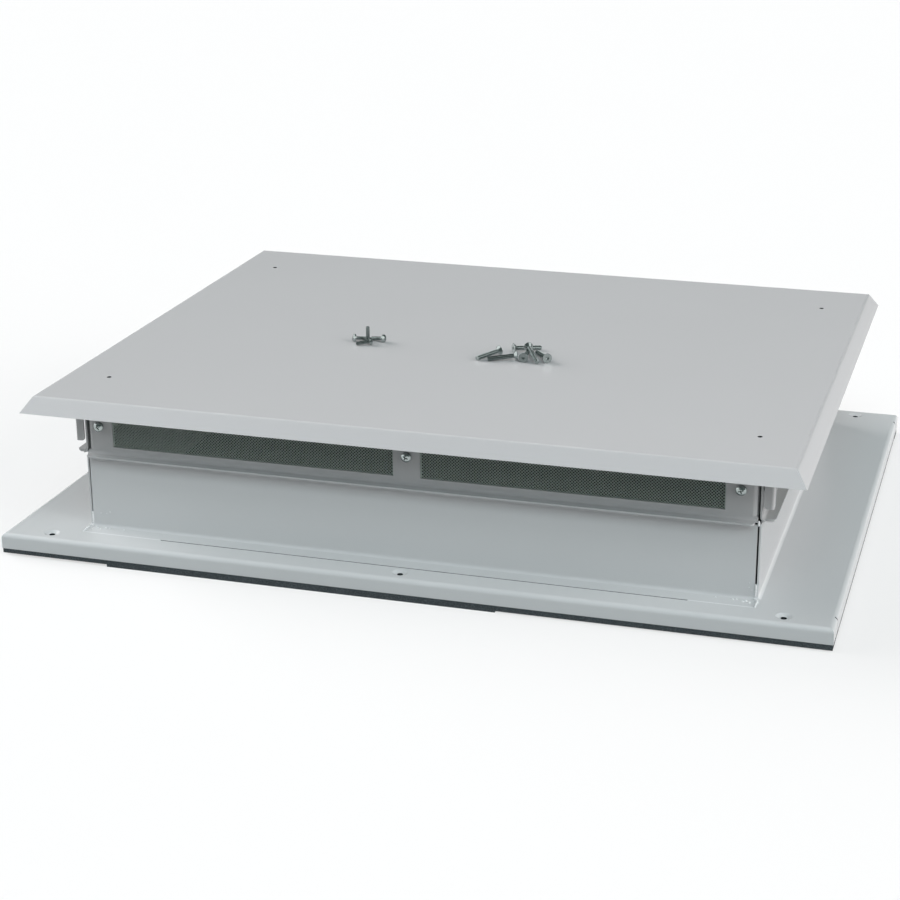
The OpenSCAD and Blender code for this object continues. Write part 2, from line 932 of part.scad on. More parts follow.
base_plate();
gasket_front_left();
gasket_front_middle();
gasket_front_right();
gasket_rear();
gasket_left();
gasket_right();
duct_front();
duct_rear();
duct_left();
duct_right();
side_seam_beads();
foot_welds();
corner_welds();
ledge_welds();
vent_frame_front();
vent_frame_rear();
vent_frame_left();
vent_frame_right();
vent_insert_front();
vent_insert_rear();
vent_insert_left();
vent_insert_right();
insert_screws("front", front_len, window_shift);  // insert_screws_front
insert_screws("rear", front_len, window_shift);  // insert_screws_rear
insert_screws("left", side_len, 0);  // insert_screws_left
insert_screws("right", side_len, 0);  // insert_screws_right
insert_nuts("front", front_len, window_shift);  // insert_nuts_front
insert_nuts("rear", front_len, window_shift);  // insert_nuts_rear
insert_nuts("left", side_len, 0);  // insert_nuts_left
insert_nuts("right", side_len, 0);  // insert_nuts_right
cover_nuts();
cover();
cover_lug_front_left();
cover_lug_front_right();
cover_lug_rear_left();
cover_lug_rear_right();
cover_screws();
mounting_screws();
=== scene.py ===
# %% [markdown]
# Vented roof plate for a floor-standing enclosure.
# The object is all folded sheet steel: a shallow base pan on foam, a low duct, a ring of
# vent frames with perforated inserts, and a hood cover with its screws left lying on top.
# The folded sheets come in ready-made as the fixed frame. This lesson gives them their
# powder coat and adds what a sheet model leaves out: the perforation, the threads,
# the weld beads, the light and the camera.

import math
import random

import bpy
from mathutils import Matrix, Vector


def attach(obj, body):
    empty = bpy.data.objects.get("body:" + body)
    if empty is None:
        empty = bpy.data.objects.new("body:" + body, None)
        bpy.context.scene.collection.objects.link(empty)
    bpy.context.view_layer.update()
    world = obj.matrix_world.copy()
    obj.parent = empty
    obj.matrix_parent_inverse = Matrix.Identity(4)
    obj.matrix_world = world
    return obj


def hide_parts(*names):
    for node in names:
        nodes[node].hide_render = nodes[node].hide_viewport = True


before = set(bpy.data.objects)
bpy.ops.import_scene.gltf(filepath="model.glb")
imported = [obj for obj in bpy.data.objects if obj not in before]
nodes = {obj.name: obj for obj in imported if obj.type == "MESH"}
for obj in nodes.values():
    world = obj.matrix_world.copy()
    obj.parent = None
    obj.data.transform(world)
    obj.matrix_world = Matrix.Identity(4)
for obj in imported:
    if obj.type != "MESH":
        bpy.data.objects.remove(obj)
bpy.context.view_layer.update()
mm = 0.001
print("nodes in the frame:", len(nodes))

# %% [markdown]
# The finish of a sheet is hardly ever one number: its grey drifts a little, and so does its
# gloss. Nodes for that could be wired up one by one, but a long chain of them is hard to
# read. Here a finish is arithmetic on patterns: a grey plus a little noise. The small class
# below lets that arithmetic be written as it is thought, and adds the nodes behind it.


# %% shader arithmetic
class Wire:
    """A number that varies over a surface, with arithmetic."""

    def __init__(self, coat, socket):
        self.coat = coat
        self.socket = socket

    def combine(self, how, first, second):
        return self.coat.node("ShaderNodeMath", {"operation": how}, {0: first, 1: second})

    def __add__(self, other):
        return self.combine("ADD", self, other)

    def __radd__(self, other):
        return self.combine("ADD", other, self)

    def __sub__(self, other):
        return self.combine("SUBTRACT", self, other)

    def __rsub__(self, other):
        return self.combine("SUBTRACT", other, self)

    def __mul__(self, other):
        return self.combine("MULTIPLY", self, other)

    def __rmul__(self, other):
        return self.combine("MULTIPLY", other, self)

    def __lt__(self, other):
        return self.combine("LESS_THAN", self, other)

    def __gt__(self, other):
        return self.combine("GREATER_THAN", self, other)

    def __abs__(self):
        return self.combine("ABSOLUTE", self, 0.0)


print("operations on a wire:", sum(callable(value) for value in vars(Wire).values()))

# %% [markdown]
# A coat is one material. It hands out patterns as wires, such as the place on the object,
# soft noise or bubble cells, and takes wires or plain numbers for its sockets. The patterns
# fill the space round the object, so they need no unwrapping, show no seams on the large
# sheets and move along with a piece.


# %% coats and their patterns
class Coat:
    """A material under construction, or the world round about."""

    def __init__(self, name, world=None):
        self.owner = world or bpy.data.materials.new(name)
        self.owner.use_nodes = True
        self.tree = self.owner.node_tree
        self.shader = self.tree.nodes.get("Principled BSDF")
        self.place = self.node("ShaderNodeTexCoord", {}, {}, "Generated" if world else "Object")

    def node(self, kind, settings, inputs, output=0):
        """Add a node of any type, with its settings and its sockets' values or links."""
        made = self.tree.nodes.new(kind)
        for key, value in settings.items():
            setattr(made, key, value)
        for key, value in inputs.items():
            self.plug(made.inputs[key], value)
        return Wire(self, made.outputs[output])

    def plug(self, socket, value):
        if isinstance(value, Wire):
            self.tree.links.new(value.socket, socket)
        else:
            socket.default_value = value

    def along(self, axis):
        """Distance from the middle along X, Y or Z, in metres."""
        return self.node("ShaderNodeSeparateXYZ", {}, {"Vector": self.place}, axis)

    def noise(self, size, detail=2.0, rough=0.5):
        """Soft random pattern whose patches are about this many metres wide, from 0 to 1."""
        return self.node(
            "ShaderNodeTexNoise", {"noise_dimensions": "3D"},
            {"Vector": self.place, "Scale": 1 / size, "Detail": detail, "Roughness": rough},
            "Fac",
        )

    def cells(self, size):
        """Distance to the nearest cell centre of a bubble pattern this fine."""
        return self.node(
            "ShaderNodeTexVoronoi", {"feature": "F1"},
            {"Vector": self.place, "Scale": 1 / size}, "Distance",
        )

    def blend(self, amount, low, high):
        """Colour between two colours, by a varying amount."""
        low, high = (c if isinstance(c, Wire) else (*c, 1) for c in (low, high))
        return self.node(
            "ShaderNodeMix", {"data_type": "RGBA", "clamp_factor": True},
            {"Factor": amount, 6: low, 7: high}, 2,
        )

    def watched(self):
        """1 where the camera looks straight at something or sees it mirrored, else 0."""
        rays = ("Is Camera Ray", "Is Glossy Ray", "Is Transmission Ray")
        seen = sum(self.node("ShaderNodeLightPath", {}, {}, ray) for ray in rays)
        return seen.combine("MINIMUM", seen, 1.0)

    def mix(self, share, first, second):
        """One shader, and this share of another."""
        return self.node("ShaderNodeMixShader", {}, {0: share, 1: first, 2: second})

    def show(self, shader):
        """Send a shader to the output."""
        end = next(node for node in self.tree.nodes if node.type.startswith("OUTPUT"))
        self.plug(end.inputs["Surface"], shader)

    def bump(self, height, depth, strength=1.0):
        """Surface relief: a pattern from 0 to 1 standing this many metres high."""
        return self.node(
            "ShaderNodeBump", {},
            {"Height": height, "Distance": depth, "Strength": strength}, "Normal",
        )

    def finish(self, **values):
        """Set the shader's own sockets by name and hand back the material."""
        for key, value in values.items():
            self.plug(self.shader.inputs[key.replace("_", " ")], value)
        return self.owner


print("a coat offers:", [name for name in vars(Coat) if not name.startswith("_")])

# %% [markdown]
# Powder coat is sprayed on dry and baked until it flows together. It keeps a faint
# orange-peel relief about a millimetre wide, and its grey drifts very slightly from one
# place to the next. It is glossy enough to mirror the screws that lie on it, yet soft
# enough for broad highlights along the bends. The narrow gap between the plate and the
# duct's foot and the small screw holes are painted near black as painted shade, the shade
# that falls in them. A coloured image could show all this too, but it would have to
# be huge to hold grain this fine on a sheet this large.


# %% powder coat
# Painted shade: a near black painted into the gap in front of the feet and into the screw
# holes, where shade falls.
painted_shade_colour = (0.03, 0.033, 0.035)
gap_from, gap_to, gap_top = 0.2718, 0.2738, 0.0216
fixing_x, fixing_y, fixing_r = 0.354, 0.284, 0.0028
cover_hole_x, cover_hole_y, cover_hole_r = 0.3165, 0.217, 0.0023


def in_holes(coat, x, y, radius):
    """1 inside the holes at plus and minus these distances from the middle, else 0."""
    off_x, off_y = abs(coat.along("X")) - x, abs(coat.along("Y")) - y
    return off_x * off_x + off_y * off_y < radius ** 2


def painted_shade_on_plate(coat):
    """Where shade is painted dark: 1 in the gap in front of the feet and in the fixing holes,
    else 0.
    """
    out = abs(coat.along("Y"))
    gap = (out > gap_from) * (out < gap_to) * (coat.along("Z") < gap_top)
    corners = in_holes(coat, fixing_x, fixing_y, fixing_r)
    return gap + corners + in_holes(coat, 0.0, fixing_y, fixing_r)


def painted_shade_on_cover(coat):
    """Where shade is painted dark: 1 in the cover's four screw holes, else 0."""
    return in_holes(coat, cover_hole_x, cover_hole_y, cover_hole_r)


def powder_coat(name, grey, shine, shade_mask=None):
    """Baked coat of one grey; shine is its roughness, the last argument tells where shade is
    painted dark.
    """
    coat = Coat(name)
    drift = coat.noise(0.16, 3)
    speck = coat.noise(0.0022, 2)
    peel = coat.noise(0.0013, 1)
    darker = [c * 0.985 for c in grey]
    lighter = [c * 1.015 for c in grey]
    colour = coat.blend(drift * 0.8 + speck * 0.2, darker, lighter)
    # Painted shade: the masked gap and holes get the near black instead of the coat.
    if shade_mask:
        colour = coat.blend(shade_mask(coat), colour, painted_shade_colour)
    return coat.finish(
        Base_Color=colour,
        Roughness=shine + 0.05 * speck,
        Normal=coat.bump(peel, 0.00002, 0.35),
        Specular_IOR_Level=0.5,
    )


light_grey = (0.495, 0.497, 0.503)
# Painted light: the cover's copy of the grey is a touch darker and pinker, set for the level
# and tint at which its top renders.
cover_coat = powder_coat("cover_coat", (0.491, 0.478, 0.485), 0.14, painted_shade_on_cover)
# Painted light: the plate's and the duct's copy of the grey is lighter, set for the level at
# which they render.
base_coat = powder_coat("base_coat", [c * 1.07 for c in light_grey], 0.22, painted_shade_on_plate)
# Painted shade: the frame's copy of the grey is darker, for the shade under the cover's
# overhang; the lugs get it too.
frame_coat_shaded = powder_coat("frame_coat_shaded", [c * 0.87 for c in light_grey], 0.18)
# Painted highlight: the welds' copy of the grey is much lighter, so the beads and drops show as
# bright dots.
weld_coat_highlit = powder_coat("weld_coat_highlit", [c * 1.3 for c in light_grey], 0.14)
print("grey of the coat:", light_grey)

# %% [markdown]
# The screws and nuts are zinc plated: a bright grey metal with fine clouding.
# The foam is a black sponge strip, cut with a knife, so its cells lie open. A pattern of
# bubbles, used as relief and as painted shade in the middle of each cell, looks like them
# without a single hole in the mesh.
# The perforated inserts are thin sheet with a greenish finish. They look much darker than
# that, because most of their area is holes.


# %% metal, foam and insert
def zinc_plate(name, tone):
    coat = Coat(name)
    cloud = coat.noise(0.0015, 3)
    return coat.finish(
        Base_Color=coat.blend(cloud, [c * 0.45 for c in tone], tone),
        Metallic=1.0,
        Roughness=0.07 + 0.1 * cloud,
        Normal=coat.bump(coat.noise(0.0004, 2), 0.00001, 0.3),
    )


def black_foam(name):
    coat = Coat(name)
    open_cells = coat.cells(0.0011)
    cloud = coat.noise(0.02, 3)
    # Painted shade and tone: darker in the middle of each open cell, as shade in the pore, and
    # cloudy at random.
    light = open_cells * 0.9 + cloud * 0.3
    return coat.finish(
        Base_Color=coat.blend(light, (0.018, 0.021, 0.023), (0.085, 0.098, 0.105)),
        Roughness=0.93,
        Specular_IOR_Level=0.25,
        Normal=coat.bump(open_cells, 0.0006, 0.8),
    )


def insert_paint(name):
    coat = Coat(name)
    speck = coat.noise(0.003, 3)
    return coat.finish(
        Base_Color=coat.blend(speck, (0.28, 0.335, 0.30), (0.35, 0.41, 0.37)),
        Roughness=0.42 + 0.1 * speck,
        Normal=coat.bump(coat.noise(0.001, 1), 0.00002, 0.3),
    )


bright_zinc = zinc_plate("bright_zinc", (0.52, 0.58, 0.57))
foam = black_foam("foam")
insert_finish = insert_paint("insert_finish")

# The first name that fits a piece counts, so cover_lug comes before cover.
coats = {
    "gasket": foam,
    "cover_lug": frame_coat_shaded, "cover_nuts": bright_zinc, "cover_screws": bright_zinc,
    "cover": cover_coat, "vent_insert": insert_finish, "vent_frame": frame_coat_shaded,
    "insert_": bright_zinc, "mounting": bright_zinc,
    "base_plate": base_coat, "duct": base_coat,
    "side_seam": weld_coat_highlit, "foot_welds": weld_coat_highlit,
    "corner_welds": weld_coat_highlit, "ledge_welds": weld_coat_highlit,
}
for name, piece in nodes.items():
    start = next(key for key in coats if name.startswith(key))
    for held in piece.material_slots:
        held.material = coats[start]
print("coats in use:", len(set(coats.values())))

# %% [markdown]
# Small parts are built here as plain lists of points and faces. Most are turned parts:
# rings of points round an axis, one after another, with a skin between neighbours. Ready
# cylinders and cones would have to be cut and joined for every groove and edge. With rings,
# a groove is one ring more.


# %% shapes from rings
class Shape:
    """Points and faces, in millimetres."""

    def __init__(self):
        self.points = []
        self.faces = []

    def add(self, other, place=Matrix.Identity(4)):
        """Take in another shape, set in its place."""
        first = len(self.points)
        self.points += [tuple(place @ Vector(p)) for p in other.points]
        self.faces += [tuple(i + first for i in face) for face in other.faces]
        return self

    def loft(self, rings, close_first=True, close_last=True):
        """Skin over rings with the same number of points each."""
        first = len(self.points)
        count = len(rings[0])
        for ring in rings:
            self.points += [tuple(p) for p in ring]
        for k in range(len(rings) - 1):
            a, b = first + k * count, first + (k + 1) * count
            for i in range(count):
                j = (i + 1) % count
                self.faces.append((a + i, a + j, b + j, b + i))
        if close_first:
            self.faces.append(tuple(first + i for i in reversed(range(count))))
        if close_last:
            last = first + (len(rings) - 1) * count
            self.faces.append(tuple(last + i for i in range(count)))
        return self

    def make(self, name, coat, body, slot, stands_for=(), sharp=35):
        """Make a piece that rides on a body and may stand for pieces of the frame."""
        mesh = bpy.data.meshes.new(name)
        mesh.from_pydata([(x * mm, y * mm, z * mm) for x, y, z in self.points], [], self.faces)
        mesh.validate()
        mesh.shade_smooth()
        mesh.set_sharp_from_angle(angle=math.radians(sharp))
        mesh.materials.append(coat)
        piece = bpy.data.objects.new(name, mesh)
        bpy.context.scene.collection.objects.link(piece)
        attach(piece, body)
        if stands_for:
            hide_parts(*stands_for)
        return piece


def circle(radius, height, count):
    turns = [2 * math.pi * i / count for i in range(count)]
    return [(radius * math.cos(a), radius * math.sin(a), height) for a in turns]


print("first points of a circle:", circle(1, 0, 8)[:2])

# %% [markdown]
# A screw thread is one ridge wound round a core. Its profile is drawn four points to the
# turn: two in the root and two on the crest. Each ring of points climbs by one pitch on
# its way round, so that the next ring starts where the last one ends. A modifier could wind
# the ridge too, but it would stop with a step at the tip and under the head. Here the
# heights are held between the two ends, so that the ridge runs out flat.


# %% threads
def thread(diameter, pitch, top, tip, chamfer):
    """Threaded shaft from height top down to height tip."""
    count = 20
    crest = diameter / 2
    root = crest - 0.61 * pitch
    # The share of a turn at which each point of the profile lies, and its radius.
    profile = ((0.0, root), (0.25, root), (0.56, crest), (0.69, crest))
    shaft = Shape()
    rows = []
    turns = int((top - tip) / pitch) + 3
    for turn in range(turns):
        for step, radius in profile:
            row = []
            for i in range(count + 1):
                angle = 2 * math.pi * i / count
                z = tip - pitch + (turn + step + i / count) * pitch
                z = min(max(z, tip), top)
                r = min(radius, crest - chamfer + (z - tip))
                row.append((r * math.cos(angle), r * math.sin(angle), z))
            rows.append(row)
    for row in rows:
        shaft.points += row
    width = count + 1
    for k in range(len(rows) - 1):
        for i in range(count):
            a, b = k * width + i, (k + 1) * width + i
            shaft.faces.append((a, a + 1, b + 1, b))
    shaft.loft([circle(crest - chamfer, tip, count), circle(0.01, tip, count)], False, True)
    return shaft


print("faces of one turned thread:", len(thread(4, 0.7, 0, -14, 0.4).faces))

# %% [markdown]
# A screw's head is turned as well, all but the recess for the driver. The recess could be
# cut out with a Boolean. It is simpler to let the rings in the middle of the head follow a
# cross or a hexagon and the outer ones a circle: the skin between them is the face of the
# head.


# %% screw heads
def star_ring(outline, height_of, count=96):
    """Ring whose radius follows an outline and whose height follows the radius."""
    ring = []
    for i in range(count):
        angle = 2 * math.pi * (i + 0.5) / count
        r = outline(angle)
        ring.append((r * math.cos(angle), r * math.sin(angle), height_of(r)))
    return ring


def folded(angle, parts):
    """Angle to the nearest of evenly spaced arms."""
    share = 2 * math.pi / parts
    return abs((angle + share / 2) % share - share / 2)


def pan_screw(diameter, pitch, length, head_d, head_h):
    """Pan-head screw with a cross recess, seat at height 0, thread pointing down."""
    dome = 0.8 * head_d
    arm, wide, deep = 0.275 * head_d, 0.065 * head_d, 0.5 * head_h

    def cross(angle):
        off = folded(angle, 4)
        return min(arm / math.cos(off), wide / max(math.sin(off), 1e-6))

    def on_dome(r):
        return head_h - dome + math.sqrt(dome ** 2 - r ** 2)

    rings = [star_ring(lambda a: 0.35 * cross(a), lambda r: head_h - deep)]
    rings.append(star_ring(lambda a: 0.82 * cross(a), lambda r: head_h - 0.55 * deep))
    rings.append(star_ring(cross, on_dome))
    start = 1.12 * arm
    for k in range(5):
        radius = start + (0.48 * head_d - start) * k / 4
        rings.append(star_ring(lambda a: radius, on_dome))
    rim_z = on_dome(0.48 * head_d) - 0.02 * head_d
    rings.append(star_ring(lambda a: head_d / 2, lambda r: rim_z))
    rings.append(star_ring(lambda a: head_d / 2, lambda r: 0.05 * head_h))
    rings.append(star_ring(lambda a: 0.48 * head_d, lambda r: 0))
    rings.append(star_ring(lambda a: 0.3 * diameter, lambda r: 0))
    screw = Shape().loft(rings, True, True)
    return screw.add(thread(diameter, pitch, 0, -length, 0.6 * pitch))


def countersunk_screw(diameter, pitch, length, head_d, head_h, socket):
    """Countersunk screw with a hexagon socket, top face at height 0, thread pointing down."""
    rim = 0.1 * diameter

    def hexagon(angle):
        return socket / 2 / math.cos(folded(angle, 6))

    rings = [star_ring(lambda a: 0.02, lambda r: -0.85 * head_h)]
    rings.append(star_ring(hexagon, lambda r: -0.7 * head_h))
    rings.append(star_ring(hexagon, lambda r: -0.06 * head_h))
    rings.append(star_ring(lambda a: 1.07 * hexagon(a), lambda r: 0))
    rings.append(star_ring(lambda a: head_d / 2 - 0.3 * rim, lambda r: 0))
    rings.append(star_ring(lambda a: head_d / 2, lambda r: -0.3 * rim))
    rings.append(star_ring(lambda a: head_d / 2, lambda r: -rim))
    rings.append(star_ring(lambda a: diameter / 2, lambda r: -head_h))
    neck = diameter / 2 - 0.5 * pitch
    rings.append(star_ring(lambda a: neck, lambda r: -head_h - 0.5 * pitch))
    screw = Shape().loft(rings, True, True)
    return screw.add(thread(diameter, pitch, -head_h, -length, 0.6 * pitch))


print("points on one ring of a head:", len(star_ring(lambda a: 1, lambda r: 0)))

# %% [markdown]
# The loose screws were tipped out onto the cover. A screw that lies down touches the
# sheet in two places, the rim of its head and its tip, so it slopes a little. One of the
# long ones leans on another, and one of the short ones stands on its head. A simulation
# could drop them, but it wouldn't leave them as they lie in the picture, so each one's
# place and heading are given, in lengths of the screw and in degrees.

# %% loose screws
cover_top = 162.5
air = 0.1


def laid(head_r, tip_r, reach, lift, place, heading):
    """Where a lying screw goes: its rim at this place, its tip pointing this way."""
    taper = head_r - tip_r
    tilt = math.atan2(taper, reach) + math.asin(lift / math.hypot(reach, taper))
    return (
        Matrix.Translation((place[0], place[1], cover_top + lift + air))
        @ Matrix.Rotation(math.radians(heading), 4, "Z")
        @ Matrix.Rotation(tilt, 4, "Y")
        @ Matrix.Translation((0, 0, head_r))
        @ Matrix.Rotation(math.radians(-90), 4, "Y")
    )


short_d, short_l, short_head_d, short_head_h = 4, 14, 8, 3.1
short = pan_screw(short_d, 0.7, short_l, short_head_d, short_head_h)
heap_x, heap_y = -113, -40
short_places = ((-1, 0, 38), (0.36, -0.51, 201), (1.04, 0.43, 165))
short_heap = Shape()
for along, across, heading in short_places:
    spot = (heap_x + along * short_l, heap_y + across * short_l)
    lie = laid(short_head_d / 2, short_d / 2, short_l, 0, spot, heading)
    short_heap.add(short, lie)
upside_down = Matrix.Translation((heap_x, heap_y, cover_top + air + short_head_h))
short_heap.add(short, upside_down @ Matrix.Rotation(math.pi, 4, "X"))
short_heap.make("cover_screws_threaded", bright_zinc, "cover", "cover_screws", ["cover_screws"])

long_d, long_l, long_head_d, long_head_h = 5, 30, 9.8, 3.1
long_rim, long_chamfer, long_socket = 0.5, 0.6, 3
long = countersunk_screw(long_d, 0.8, long_l, long_head_d, long_head_h, long_socket)
on_rim = Matrix.Translation((0, 0, long_rim))
reach = long_l - long_rim - long_chamfer
heap_x, heap_y = 50, -52
long_places = (
    (-0.74, 0.27, 236), (-0.03, -0.12, 204), (-0.37, 0.64, 35),
    (0.24, -0.33, 95), (1.02, -0.18, 124),
)
long_heap = Shape()
for along, across, heading in long_places:
    spot = (heap_x + along * long_l, heap_y + across * long_l)
    lie = laid(long_head_d / 2, long_d / 2, reach, 0, spot, heading)
    long_heap.add(long, lie @ on_rim)
lean_along, lean_across, lean_share, lean_heading = 0.2, 0.4, 0.73, 303
under = long_d + (long_head_d - long_d) / 2 * (1 - lean_share) + air
spot = (heap_x + lean_along * long_l, heap_y + lean_across * long_l)
lie = laid(long_head_d / 2, long_d / 2, reach, under, spot, lean_heading)
long_heap.add(long, lie @ on_rim)
long_heap.make(
    "mounting_screws_threaded", bright_zinc, "cover", "mounting_screws", ["mounting_screws"])
print("faces in the loose screws:", len(short_heap.faces) + len(long_heap.faces))

# %% [markdown]
# Each side has three screws that hold its perforated insert. Their heads show outside and
# their threads come out behind, through the nuts. One screw is built and set in place
# twelve times, with its cross at another angle each time along a side, as nobody lines
# them up.

# %% insert screws
duct_w, duct_d = 653, 510
side_of = {
    "right": (0, duct_w / 2, 508, 0), "rear": (90, duct_d / 2, 646.8, 1.9),
    "left": (180, duct_w / 2, 508, 0), "front": (270, duct_d / 2, 646.8, 1.9),
}
screw_z, screw_end = 125, 14
insert_screw = pan_screw(diameter=5, pitch=0.8, length=8.5, head_d=9.5, head_h=3.7)
first_spin, next_spin = 25, 40
face_out = Matrix.Rotation(math.radians(90), 4, "Y")
for side, (turn, out, run, shift) in side_of.items():
    to_side = Matrix.Rotation(math.radians(turn), 4, "Z") @ Matrix.Translation((out, -shift, 0))
    row = Shape()
    for k, y in enumerate((-run / 2 + screw_end, 0, run / 2 - screw_end)):
        spin = Matrix.Rotation(math.radians(first_spin + next_spin * k), 4, "Z")
        lie = Matrix.Translation((0, y, screw_z)) @ face_out @ spin
        row.add(insert_screw, to_side @ lie)
    held = f"insert_screws_{side}"
    row.make(f"{held}_threaded", bright_zinc, "base", held, [held])
    print("screws through the", side, "insert: 3")

# %% [markdown]
# The inserts are punched full of small round holes in staggered rows, only where the
# windows are; round the windows the sheet stays plain so that it can be clamped. Cutting
# that many holes with a Boolean would be slow and could tear the mesh, so the sheet is
# written down with its holes in it: each hole sits in a diamond of sheet, and the diamonds
# tile the window.


# %% perforated inserts
def punched_window(low, high, bottom, top, pitch, hole_d, thick):
    """Flat sheet full of staggered holes between these limits, in its own plane."""
    half = pitch / 2
    columns = int((high - low) / pitch)
    rows = int((top - bottom) / half) - 1
    width, height = columns * pitch, (rows + 1) * half
    x0 = (low + high - width) / 2
    z0 = (bottom + top - height) / 2
    around = [math.radians(45 * k) for k in range(8)]
    sheet = Shape()
    # A diamond has 4 corners and 8 points round its hole, so 12 points on either face.

    def prism(corners, solid=True):
        first = len(sheet.points)
        count = len(corners)
        for depth in (0, -thick):
            sheet.points += [(depth, x, z) for x, z in corners]
        if solid:
            sheet.faces.append(tuple(first + i for i in range(count)))
            sheet.faces.append(tuple(first + count + i for i in reversed(range(count))))
        return first

    for j in range(rows):
        shifted = j % 2
        for i in range(columns - shifted):
            x = x0 + (i + 0.5 + 0.5 * shifted) * pitch
            z = z0 + (j + 1) * half
            corners = [(x + half, z), (x, z + half), (x - half, z), (x, z - half)]
            hole = [
                (x + hole_d / 2 * math.cos(a), z + hole_d / 2 * math.sin(a)) for a in around]
            first = prism(corners + hole, False)
            for face in range(2):
                base = first + 12 * face
                for k in range(4):
                    c0, c1 = base + k, base + (k + 1) % 4
                    h0, h1, h2 = (base + 4 + (2 * k + n) % 8 for n in range(3))
                    fan = [(c0, c1, h1), (c0, h1, h0), (c1, h2, h1)]
                    sheet.faces += fan if face == 0 else [tuple(reversed(f)) for f in fan]
            for k in range(8):
                a, b = first + 4 + k, first + 4 + (k + 1) % 8
                sheet.faces.append((a, b, b + 12, a + 12))
        if shifted:
            z = z0 + (j + 1) * half
            prism([(x0, z - half), (x0 + half, z), (x0, z + half)])
            prism([(x0 + width, z + half), (x0 + width - half, z), (x0 + width, z - half)])
    for i in range(columns):
        x = x0 + i * pitch
        prism([(x, z0), (x + pitch, z0), (x + half, z0 + half)])
        if rows % 2:
            prism([(x + pitch, z0 + height), (x, z0 + height), (x + half, z0 + height - half)])
        elif i:
            prism([(x + half, z0 + height), (x - half, z0 + height), (x, z0 + height - half)])
    return sheet, (x0, x0 + width, z0, z0 + height)


def plain_sheet(low, high, bottom, top, thick):
    """Rectangle of plain sheet."""
    front = [(0, low, bottom), (0, high, bottom), (0, high, top), (0, low, top)]
    back = [(-thick, y, z) for _, y, z in front]
    return Shape().loft([back, front])


print("faces round one hole:", 2 * 12 + 8)

# %% [markdown]
# Each insert is one sheet behind its frame: a punched field behind either window, a little
# larger than the window, and plain sheet round both.

# %% fit the inserts
pitch, hole_d, insert_t = 3.0, 1.98, 1.0
window_low, window_high, lap, post, window_end = 105, 145, 3.5, 13, 27.5
frame_t, over, insert_end = 1.5, 1, 6
for side, (turn, out, run, shift) in side_of.items():
    behind = Matrix.Translation((out - frame_t, 0, 0))
    to_side = Matrix.Rotation(math.radians(turn), 4, "Z") @ behind
    sheet = Shape()
    filled = []
    for low, high in ((-run / 2 + window_end, -post), (post, run / 2 - window_end)):
        low, high = low - shift, high - shift
        window, limits = punched_window(
            low - over, high + over, window_low - over, window_high + over,
            pitch, hole_d, insert_t)
        sheet.add(window)
        filled.append(limits)
    half_run = run / 2 - insert_end
    bottom, top = filled[0][2], filled[0][3]
    sheet.add(plain_sheet(-half_run, half_run, window_low - lap, bottom, insert_t))
    sheet.add(plain_sheet(-half_run, half_run, top, window_high + lap, insert_t))
    uprights = (
        (-half_run, filled[0][0]), (filled[0][1], filled[1][0]), (filled[1][1], half_run))
    for low, high in uprights:
        sheet.add(plain_sheet(low, high, bottom, top, insert_t))
    name = f"vent_insert_{side}"
    Shape().add(sheet, to_side).make(name + "_punched", insert_finish, "base", name, [name])
    print(name, "faces:", len(sheet.faces))

# %% [markdown]
# The corners are closed with short welds that were ground down and sprayed over. What is
# left is a lumpy line at the bottom of each open slit, a low ridge where one end of the
# foot is welded to the plate, and a few drops of spatter that stuck to the sheet round
# them. They catch the light as small bright dots, helped by a lighter coat that is a
# painted highlight. A tube along a curve would be too even for a weld, so each ring of a
# bead has its own radius, from a wave and a little chance. The chance has a fixed seed and
# comes out the same in every run.


# %% beads and drops
def bead(path, radius, ripple, seed):
    """Lumpy bead from a first point to a last, tapered at both ends."""
    chance = random.Random(seed)
    sides = 10
    start, end = Vector(path[0]), Vector(path[-1])
    axis = (end - start).normalized()
    side = axis.cross(Vector((0.31, 0.52, 0.80))).normalized()
    other = axis.cross(side)
    steps = max(6, int((end - start).length / 0.8))
    rings = []
    for k in range(steps + 1):
        share = k / steps
        taper = math.sqrt(max(0.02, 1 - (2 * share - 1) ** 6))
        lump = math.sin(2.2 * k) + 0.4 * chance.uniform(-1, 1)
        r = radius * taper * (1 + ripple * lump)
        middle = start.lerp(end, share)
        ring = []
        for i in range(sides):
            a = 2 * math.pi * i / sides
            ring.append(tuple(middle + (side * math.cos(a) + other * math.sin(a)) * r))
        rings.append(ring)
    return Shape().loft(rings)


def drop(place, radius, normal):
    """Flattened drop of spatter stuck to a sheet with this normal."""
    up = Vector(normal).normalized()
    turn = up.to_track_quat("Z", "Y").to_matrix().to_4x4()
    slices = (0, 0.5, 1.0, 1.4)
    rings = [circle(radius * math.cos(t), 0.75 * radius * math.sin(t), 10) for t in slices]
    return Shape().add(Shape().loft(rings), Matrix.Translation(place) @ turn)


print("faces of one drop:", len(drop((0, 0, 0), 1, (0, 0, 1)).faces))

# %% [markdown]
# The same beads and drops go to all four corners, but their seeds differ, so that no two
# corners look alike. The rear is the front turned half round, and so the ridge along the
# foot is on the other side there.

# %% weld beads and spatter
slit_x, wall_x, wall_y, plate_top = 324.2, 326, 255, 22
slit_low, slit_high, ledge_low, ledge_high = 24.6, 36.5, 92, 97.5
mitre_x, mitre_in, mitre_out, mitre_z = 326.6, 257, 274, 22.2
ridge_from, ridge_y, ridge_z = 266, 272.8, 21.65
